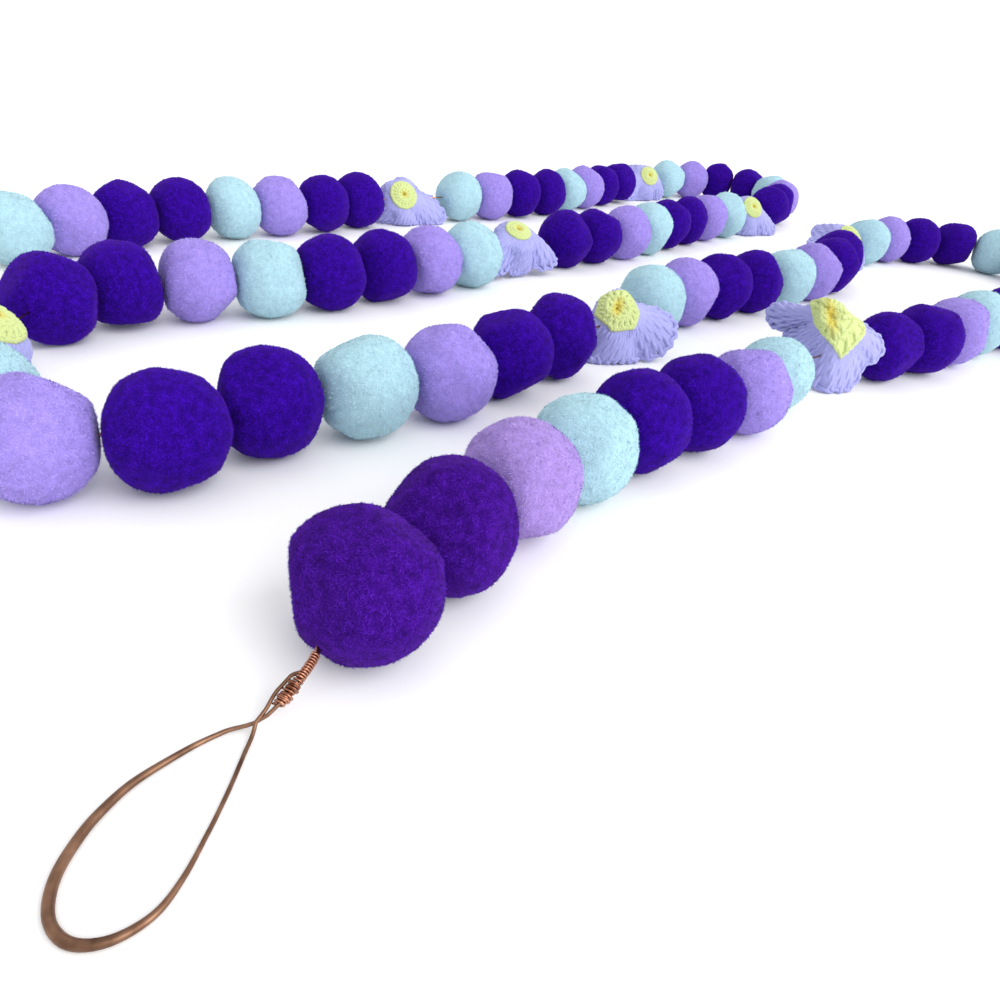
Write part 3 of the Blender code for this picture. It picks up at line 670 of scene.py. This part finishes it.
class Cloth:
    """The curved ground of one flower: points of it by direction and by share of the way to the rim."""

    def __init__(self, number, index, shape):
        self.number = number
        looks, lean = math.radians(shape["looks"]), math.radians(shape["lean"])
        self.shape = shape
        forward = Vector((math.cos(looks), math.sin(looks), 0.0))
        self.outward = forward * math.sin(lean) + Vector((0, 0, math.cos(lean)))
        self.across = Vector((-forward.y, forward.x, 0.0))
        self.upward = self.outward.cross(self.across)
        middle = places[index]
        self.seat = Vector((middle.x, middle.y, shape["height"])) + forward * shape["ahead"]
        self.seat += self.across * shape["shift"]
        self.neighbours = (places[index - 1], places[index + 1])
        self.fold_way, self.fold = [math.radians(value) for value in shape["fold"]]
        self.tuck_way, self.tuck = [math.radians(value) for value in shape["tuck"]]

    def reach(self, angle, share):
        """Length of cloth from the middle: share -1 is the middle, 0 the yellow's edge and 1 the rim."""
        here, between = petal_place(self.shape["ways"], angle)
        swing = abs(math.cos(math.pi * between))
        ease = smooth_step(between)
        bend, petal = [a * (1 - ease) + b * ease
                       for a, b in zip(self.shape["petals"][here], self.shape["petals"][(here + 1) % 5])]
        notch = FULL_SIDE[1] if (self.number, here) == FULL_SIDE[0] else NOTCH_LENGTH
        rim = notch + (petal - notch) * swing ** 0.6
        yellow = corner_reach(self.shape["yellow"], angle)
        length = yellow * (1 + share) if share <= 0 else yellow + (rim - yellow) * share
        return length, yellow, swing, math.radians(bend)

    def spot(self, angle, share, depth=0.0, lift=0.0):
        """A point, depth below the face, or lifted from it, with the face's normal there."""
        length, yellow, swing, bend = self.reach(angle, share)
        heading = self.across * math.cos(angle) + self.upward * math.sin(angle)
        tuck = self.tuck * max(0.0, math.cos(angle - self.tuck_way)) ** 2
        walked, point, tilt, steps = 0.0, Vector(), 0.0, 12
        for _ in range(steps):
            walked += length / steps
            tilt = bend * smooth_step((walked - FLAT_LENGTH) / (BENT_LENGTH - FLAT_LENGTH))
            tilt += self.fold * max(0.0, math.cos(angle - self.fold_way)) * smooth_step(walked / FOLD_LENGTH)
            tilt += tuck * smooth_step((walked - TUCKED_FROM) / FOLD_LENGTH)
            point += (heading * math.cos(tilt) - self.outward * math.sin(tilt)) * length / steps
        normal = self.outward * math.cos(tilt) + heading * math.sin(tilt)
        crease = CREASE_DEPTH * (1.0 - swing) * smooth_step((walked - max(CREASED_FROM, yellow)) / CREASE_LENGTH)
        if (self.number, petal_place(self.shape["ways"], angle)[0]) == FULL_SIDE[0]:
            crease *= FULL_SIDE[2]
        dome = CENTRE_DOME * max(0.0, 1.0 - (walked / CREASED_FROM) ** 2)
        slot = 1.0 + FOLD_STRETCH * self.fold * abs(math.sin(angle - self.fold_way))
        dimple = FLOWER_DIMPLE * max(0.0, 1.0 - walked / (DIMPLE_WIDTH * slot)) ** 2
        point = self.seat + point + normal * (dome - dimple - crease - depth)
        for ball in self.neighbours:
            away = point - ball
            room = PRESS + CLOTH_THICKNESS / 2
            if away.length < room:
                point += away.normalized() * (room - away.length)
        point += normal * lift
        point.z = max(point.z, FLOOR_LIFT + CLOTH_THICKNESS / 2)
        return point, normal


def cloth_ground(cloth, steps=70, rounds=(0.0, 0.25, 0.5, 0.75, 0.9)):
    """The closed sheet under the stitches, as a bmesh: material 0 petals, 1 yellow."""
    bm = bmesh.new()
    thick = CLOTH_THICKNESS * CLOTH_SHARE
    shares = (-1.0, -0.8, -0.5) + rounds
    layers = []
    for depth in ((CLOTH_THICKNESS - thick) / 2, (CLOTH_THICKNESS + thick) / 2):
        layer = []
        for share in shares:
            count = 1 if share == -1.0 else steps
            raised = 0.4 if depth < 1.0 and -1.0 < share < 0.0 else 0.0
            layer.append([bm.verts.new(cloth.spot(2 * math.pi * i / steps, share, depth - raised)[0])
                          for i in range(count)])
        layers.append(layer)
    for layer in layers:
        for i in range(steps):
            bm.faces.new((layer[0][0], layer[1][i], layer[1][(i + 1) % steps])).material_index = 1
        for k in range(1, len(shares) - 1):
            for i in range(steps):
                j = (i + 1) % steps
                face = bm.faces.new((layer[k][i], layer[k][j], layer[k + 1][j], layer[k + 1][i]))
                face.material_index = 1 if shares[k + 1] <= 0 else 0
    for i in range(steps):
        j = (i + 1) % steps
        bm.faces.new((layers[0][-1][i], layers[0][-1][j], layers[1][-1][j], layers[1][-1][i]))
    bmesh.ops.recalc_face_normals(bm, faces=bm.faces)
    for face in bm.faces:
        face.smooth = True
    return bm


def twisted(path, normals, turns, spread, start=0.0, flat=0.6):
    """Two plies wound round each other along a path, as two lists of points, flattened against the cloth."""
    plies = ([], [])
    count = len(path)
    for i, (point, normal) in enumerate(zip(path, normals)):
        along = (path[min(i + 1, count - 1)] - path[max(i - 1, 0)]).normalized()
        side = along.cross(normal).normalized()
        wide = spread(i / (count - 1)) if callable(spread) else spread
        for k, ply in enumerate(plies):
            phase = 2 * math.pi * (turns * i / (count - 1) + start) + math.pi * k
            ply.append(point + (normal * math.cos(phase) * flat + side * math.sin(phase)) * wide)
    return plies


def strands(name, lines, finish, sides=1, closed=False):
    """Round strands along lists of points with radii, as one mesh object."""
    curve = bpy.data.curves.new(name, "CURVE")
    curve.dimensions = "3D"
    curve.bevel_depth = MM
    curve.bevel_resolution = sides
    curve.use_fill_caps = not closed
    for points, radius in lines:
        spline = curve.splines.new("POLY")
        spline.points.add(len(points) - 1)
        spline.use_cyclic_u = closed
        for i, (knot, point) in enumerate(zip(spline.points, points)):
            knot.co = (*(point * MM), 1.0)
            knot.radius = radius(i / (len(points) - 1)) if callable(radius) else radius
    curve.materials.append(finish)
    holder = bpy.data.objects.new(name, curve)
    bpy.context.scene.collection.objects.link(holder)
    graph = bpy.context.evaluated_depsgraph_get()
    mesh = bpy.data.meshes.new_from_object(holder.evaluated_get(graph))
    bpy.data.objects.remove(holder)
    bpy.data.curves.remove(curve)
    mesh.shade_smooth()
    thing = bpy.data.objects.new(name, mesh)
    bpy.context.scene.collection.objects.link(thing)
    return thing


def yarn_shades():
    """Colour and relief of soft cotton yarn: fine slanting fibres, a little paler where they stand up, and painted
    shade in the drawn-in hollow.
    """
    tree = bpy.data.node_groups.new("yarn shades", "ShaderNodeTree")
    new_socket(tree, "Shadow", "NodeSocketColor")
    new_socket(tree, "Light", "NodeSocketColor")
    new_socket(tree, "Hollow", "NodeSocketColor")
    new_socket(tree, "Colour", "NodeSocketColor", "OUTPUT")
    new_socket(tree, "Relief", "NodeSocketFloat", "OUTPUT")
    given = tree.nodes.new("NodeGroupInput").outputs
    result = tree.nodes.new("NodeGroupOutput").inputs
    where = tree.nodes.new("ShaderNodeTexCoord").outputs["Object"]
    hollow = tree.nodes.new("ShaderNodeAttribute")
    hollow.attribute_name = "hollow"
    # painted shade: where the hollow attribute says so, the yarn's colour gives way to the hollow's darker ochre
    hollow_shade_mix = tree.nodes.new("ShaderNodeMix")
    hollow_shade_mix.data_type = "RGBA"
    fibres = tree.nodes.new("ShaderNodeTexNoise")
    fibres.inputs["Scale"].default_value = 2300.0
    fibres.inputs["Detail"].default_value = 2.0
    fibres.inputs["Distortion"].default_value = 0.6
    patches = tree.nodes.new("ShaderNodeTexNoise")
    patches.inputs["Scale"].default_value = 260.0
    blend = tree.nodes.new("ShaderNodeMix")
    blend.data_type = "RGBA"
    level = math_node(tree, "ADD", math_node(tree, "MULTIPLY", fibres.outputs["Fac"], 1.1),
                      math_node(tree, "MULTIPLY", patches.outputs["Fac"], 0.5))
    wire_up(tree, (where, fibres.inputs["Vector"]), (where, patches.inputs["Vector"]),
            (math_node(tree, "SUBTRACT", level, 0.12), blend.inputs["Factor"]),
            (given["Shadow"], blend.inputs["A"]), (given["Light"], blend.inputs["B"]),
            (hollow.outputs["Fac"], hollow_shade_mix.inputs["Factor"]), (blend.outputs["Result"], hollow_shade_mix.inputs["A"]),
            (given["Hollow"], hollow_shade_mix.inputs["B"]), (hollow_shade_mix.outputs["Result"], result["Colour"]),
            (fibres.outputs["Fac"], result["Relief"]))
    return tree


def yarn_finish(name, colours):
    material, shader = plain_finish(name, colours[1], 0.88)
    tree = material.node_tree
    group = tree.nodes.new("ShaderNodeGroup")
    group.node_tree = YARN
    group.inputs["Shadow"].default_value = (*colours[0], 1.0)
    group.inputs["Light"].default_value = (*colours[1], 1.0)
    # the hollow's ochre, painted shade
    group.inputs["Hollow"].default_value = (*PAINTED_HOLLOW_SHADE, 1.0)
    relief = tree.nodes.new("ShaderNodeBump")
    relief.inputs["Strength"].default_value = 0.5
    relief.inputs["Distance"].default_value = 0.0002
    shader.inputs["Sheen Weight"].default_value = 0.12
    shader.inputs["Sheen Roughness"].default_value = 0.5
    shader.inputs["Specular IOR Level"].default_value = 0.2
    wire_up(tree, (group.outputs["Colour"], shader.inputs["Base Color"]),
            (group.outputs["Relief"], relief.inputs["Height"]),
            (relief.outputs["Normal"], shader.inputs["Normal"]))
    return material


def petal_stitches(cloth, petal_finish):
    """Tall stitches from the yellow's edge to the rim, each two plies wound together, and the corded rim."""
    lines = []
    count = 5 * STITCHES_A_PETAL
    middle_depth = CLOTH_THICKNESS / 2
    for i in range(count):
        angle = math.radians(cloth.shape["ways"][0]) + 2 * math.pi * (i + 0.5) / count
        path, normals = [], []
        for k in range(15):
            point, normal = cloth.spot(angle, k / 14 - 0.03, middle_depth)
            path.append(point)
            normals.append(normal)
        plies = twisted(path, normals, 2.0, lambda s: 0.30 + 0.55 * s, start=(i % 3) * 0.17)
        for ply in plies:
            lines.append((ply, lambda s: PLY_RADIUS * (0.75 + 0.75 * s)))
    rim, normals = [], []
    steps = 150
    for i in range(steps):
        angle = 2 * math.pi * i / steps
        wave = 0.02 * math.cos(count * angle)
        point, normal = cloth.spot(angle, 0.98 + wave, middle_depth)
        rim.append(point)
        normals.append(normal)
    posts = strands("posts", lines, petal_finish)
    cords = strands("rim", [(ply, PLY_RADIUS * 1.2) for ply in twisted(rim, normals, count * 0.5, 0.5)],
                    petal_finish, closed=True)
    return [posts, cords]


def centre_stitches(cloth, yellow):
    """Two rounds of short stitches, a cord round each, and the drawn-in hole's own ring."""
    lines = []
    for order, (first, last, count) in enumerate(YELLOW_ROUNDS):
        for i in range(count):
            angle = 2 * math.pi * (i + 0.5 * order) / count
            path, normals = zip(*[cloth.spot(angle + 0.10 * math.sin(3 * s), first + (last - first) * s, 0.55)
                                  for s in [k / 6 for k in range(7)]])
            for ply in twisted(path, normals, 0.9, 0.45, flat=0.35):
                lines.append((ply, PLY_RADIUS * 1.15))
    posts = strands("yellow posts", lines, yellow)
    rings = []
    for share, radius, turns, depth, steps in YELLOW_CORDS:
        path, normals = zip(*[cloth.spot(2 * math.pi * i / steps, share, depth) for i in range(steps)])
        plies = twisted(path, normals, turns * (steps - 1) / steps, 0.32)
        rings.append(strands("ring", [(ply, radius) for ply in plies], yellow, closed=True))
    return [posts] + rings


def shade_hollow(mesh, cloth):
    """Keeps with each point how deep it lies in the drawn-in hollow, which the yarn's colour reads to paint shade
    there in ochre.
    """
    spots = np.empty(len(mesh.vertices) * 3)
    mesh.vertices.foreach_get("co", spots)
    away = spots.reshape(-1, 3) / MM - np.array(cloth.spot(0.0, -1.0)[0])
    crosswise, lengthwise = [np.array(cloth.across * math.cos(way) + cloth.upward * math.sin(way))
                             for way in (cloth.fold_way, cloth.fold_way + math.pi / 2)]
    longer = HOLLOW_WIDTH * (1.0 + FOLD_STRETCH * cloth.fold)
    reach = np.hypot(away @ crosswise / HOLLOW_WIDTH, away @ lengthwise / longer)
    depth = np.clip(HOLLOW_BLUR - reach, 0.0, 1.0).astype(np.float32)
    mesh.attributes.new("hollow", "FLOAT", "POINT").data.foreach_set("value", depth)


YARN = yarn_shades()
petal_finish = yarn_finish("periwinkle crochet", PERIWINKLE)
yellow_finish = yarn_finish("yellow crochet", PALE_YELLOW)
flower_places = [i for i, kind in enumerate(ORDER) if kind == "F"]
for number, (index, shape) in enumerate(zip(flower_places, FLOWERS), start=1):
    cloth = Cloth(number, index, shape)
    ground_mesh = bpy.data.meshes.new(f"flower_{number}_crochet")
    ground_bm = cloth_ground(cloth)
    bmesh.ops.scale(ground_bm, vec=(MM, MM, MM), verts=ground_bm.verts)
    ground_bm.to_mesh(ground_mesh)
    ground_bm.free()
    for finish in (petal_finish, yellow_finish):
        ground_mesh.materials.append(finish)
    ground = bpy.data.objects.new(f"flower_{number}_crochet", ground_mesh)
    bpy.context.scene.collection.objects.link(ground)
    stitches = petal_stitches(cloth, petal_finish) + centre_stitches(cloth, yellow_finish)
    piece = joined(f"flower_{number}_crochet", [ground] + stitches)
    keep_on_table(piece.data)
    shade_hollow(piece.data, cloth)
    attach(piece, "root")
    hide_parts(f"flower_{number}")


# The string is one length of bare copper wire, 0.6 mm thick, that shows between a flower and its neighbours.
# It is the part's own piece, finished as drawn copper with a little tarnish.
BRIGHT_COPPER = ((0.160, 0.055, 0.030), (0.700, 0.340, 0.220), 0.24)     # tarnish, clean metal, roughness
DULL_COPPER = ((0.095, 0.048, 0.030), (0.310, 0.172, 0.110), 0.47)


def copper_finish(name, tarnished, clean, roughness):
    material, shader = plain_finish(name, clean, roughness)
    tree = material.node_tree
    where = tree.nodes.new("ShaderNodeTexCoord").outputs["Object"]
    tarnish = tree.nodes.new("ShaderNodeTexNoise")
    tarnish.inputs["Scale"].default_value = 330.0
    tarnish.inputs["Detail"].default_value = 4.0
    blend = tree.nodes.new("ShaderNodeMix")
    blend.data_type = "RGBA"
    blend.inputs["A"].default_value = (*tarnished, 1.0)
    blend.inputs["B"].default_value = (*clean, 1.0)
    drawn = tree.nodes.new("ShaderNodeTexNoise")
    drawn.inputs["Scale"].default_value = 5200.0
    relief = tree.nodes.new("ShaderNodeBump")
    relief.inputs["Strength"].default_value = 0.12
    relief.inputs["Distance"].default_value = 0.00003
    shader.inputs["Metallic"].default_value = 1.0
    level = math_node(tree, "ADD", math_node(tree, "MULTIPLY", tarnish.outputs["Fac"], 1.9), -0.45)
    rough = math_node(tree, "ADD", roughness + 0.13, math_node(tree, "MULTIPLY", tarnish.outputs["Fac"], -0.26))
    wire_up(tree, (where, tarnish.inputs["Vector"]), (where, drawn.inputs["Vector"]),
            (level, blend.inputs["Factor"]), (blend.outputs["Result"], shader.inputs["Base Color"]),
            (rough, shader.inputs["Roughness"]), (drawn.outputs["Fac"], relief.inputs["Height"]),
            (relief.outputs["Normal"], shader.inputs["Normal"]))
    return material


bright_copper = copper_finish("bright copper", *BRIGHT_COPPER)
dull_copper = copper_finish("dull copper", *DULL_COPPER)
string_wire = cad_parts["string_wire"]
string_wire.data.materials.clear()
string_wire.data.materials.append(bright_copper)


# Hanging eyes: at each end the wire turns back in a teardrop loop that lies on the table. Its tail runs up
# beside the standing wire and is wound round both, tight under the pom-pom and looser below.
WIRE_RADIUS = 0.30
STRAND_SPREAD = 0.31
EYE_STEM = 24.8
STEM_SWAY = 1.1
STEM_START = 10.6                          # inside the pom-pom's pile
SWAY_START = 11.0
WRAP_WIRE = 0.175
PARTED = (15.2, 2.0)                       # along the stem, where the two strands part, and how gradually
MET = (23.8, 4.4)                          # where they have met again, and how gradually
WINDINGS = (                               # start, turns, pitch, half width, half height, drift, unevenness
    (12.6, 10.0, 0.42, 0.54, 0.80, 0.0, 0.10),
    (16.9, 9.0, 0.48, 0.72, 0.70, -0.30, 0.42),
    (17.6, 5.0, 0.60, 0.86, 0.84, -0.35, 0.55),
)
WINDING_STEPS = 14                         # points a turn
TAIL = ((0.3, 0.4, 0.0), (0.9, 1.3, 0.1), (1.5, 1.7, 0.2))   # to the viewer's right, up the stem, off it
BRIGHT_STEPS = 10                          # from this point on the strands are duller, under the windings
LOOP_SWELL = 1.3                           # the loop's far side is thicker by this share
FRONT_LOOP = (
    (1.0, 0.9), (3.2, 2.6), (6.5, 3.7), (10.5, 4.4), (15.3, 4.9), (19.2, 4.5), (23.5, 3.3), (28.4, 0.6),
    (31.4, -3.2), (31.6, -7.2), (29.0, -10.2), (24.6, -11.4), (20.0, -10.3), (14.9, -8.0), (12.4, -6.8),
    (8.4, -4.7), (4.2, -2.3), (1.2, -0.8),
)
BACK_LOOP = (
    (1.5, 1.3), (6.0, 4.6), (12.0, 7.0), (19.0, 7.6), (25.0, 5.0), (27.6, 0.0),
    (25.0, -5.0), (19.0, -7.6), (12.0, -7.0), (6.0, -4.6), (1.5, -1.3),
)


def hanging_eye(name, node, middle, heading, outline):
    slope = dipped(heading)
    level = Vector((heading[0], heading[1], 0.0)).normalized()
    left = Vector((level.y, -level.x, 0.0))
    lift = left.cross(slope).normalized()
    if lift.z < 0:
        lift = -lift
    end = middle + slope * EYE_STEM
    ground = Vector((end.x, end.y, WIRE_RADIUS))

    def beside_stem(along, out, up):
        share = min(max((along - SWAY_START) / (EYE_STEM - SWAY_START), 0.0), 1.0)
        sway = STEM_SWAY * math.sin(math.pi * share ** 0.7)
        return middle + slope * along + left * (out - sway) + lift * up

    loop = []
    for spot in smooth_route([(-0.6, -STRAND_SPREAD)] + list(outline) + [(-0.6, STRAND_SPREAD)], steps=6)[3:-3]:
        drop = (end.z - WIRE_RADIUS) * max(0.0, 1.0 - spot.x / 6.0) ** 2
        over = 2 * WIRE_RADIUS * max(0.0, 1.0 - abs(spot.x - 0.2) / 1.6) * (spot.y < 0.4 and len(loop) > 40)
        loop.append(ground + level * spot.x + left * spot.y + Vector((0, 0, max(drop, 0.0) + over)))

    standing, bowed = [], []
    for k in range(26):
        along = STEM_START + 0.5 * k
        apart = smooth_step((along - PARTED[0]) / PARTED[1])
        bow = apart * smooth_step((MET[0] - along) / MET[1])
        standing.append(beside_stem(along, -0.05 - STRAND_SPREAD * apart, -0.30 * (1 - apart)))
        bowed.append(beside_stem(along, 0.05 + STRAND_SPREAD * apart + 0.85 * bow,
                                 0.30 * (1 - apart) + 0.45 * bow))

    def winding(start, turns, pitch, wide, high, out, uneven):
        steps, points = int(turns * WINDING_STEPS), []
        for k in range(steps + 1):
            angle = 2 * math.pi * k / WINDING_STEPS
            loose = 1.0 + uneven * noise.noise(Vector((k / 9.0, start, 0.0)))
            along = start + pitch * turns * k / steps + 0.22 * math.cos(angle) * loose
            points.append(beside_stem(along, wide * loose * math.cos(angle) + out * k / steps,
                                      high * loose * math.sin(angle)))
        return points

    tight, messy, over = [winding(*row) for row in WINDINGS]
    tail = [messy[-1] - left * right - slope * back + lift * up for right, back, up in TAIL]
    whole = standing[BRIGHT_STEPS:] + loop + bowed[BRIGHT_STEPS:][::-1]
    first = len(standing) - BRIGHT_STEPS
    last = first + len(loop)

    def thickness(share):
        here = (share * (len(whole) - 1) - first) / (last - first)
        return WIRE_RADIUS * (1.0 + LOOP_SWELL * smooth_step(here / 0.42) * smooth_step((0.75 - here) / 0.25))

    for k, point in enumerate(whole):
        point.z = max(point.z, thickness(k / (len(whole) - 1)) + 0.02)
    stems = [(strand[:BRIGHT_STEPS + 2], WIRE_RADIUS) for strand in (standing, bowed)]
    wraps = [(tight + messy + tail, WRAP_WIRE), (over, WRAP_WIRE)]
    piece = joined(name, [strands(name, [(whole, thickness)], dull_copper, sides=3),
                          strands("stem", stems, bright_copper, sides=3),
                          strands("wraps", wraps, bright_copper, sides=3)])
    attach(piece, "root")
    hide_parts(node)
    return piece


hanging_eye("front_eye_wire", "front_eye", places[0], FRONT_HEADING, FRONT_LOOP)
hanging_eye("back_eye_wire", "back_eye", places[-1], BACK_HEADING, BACK_LOOP)
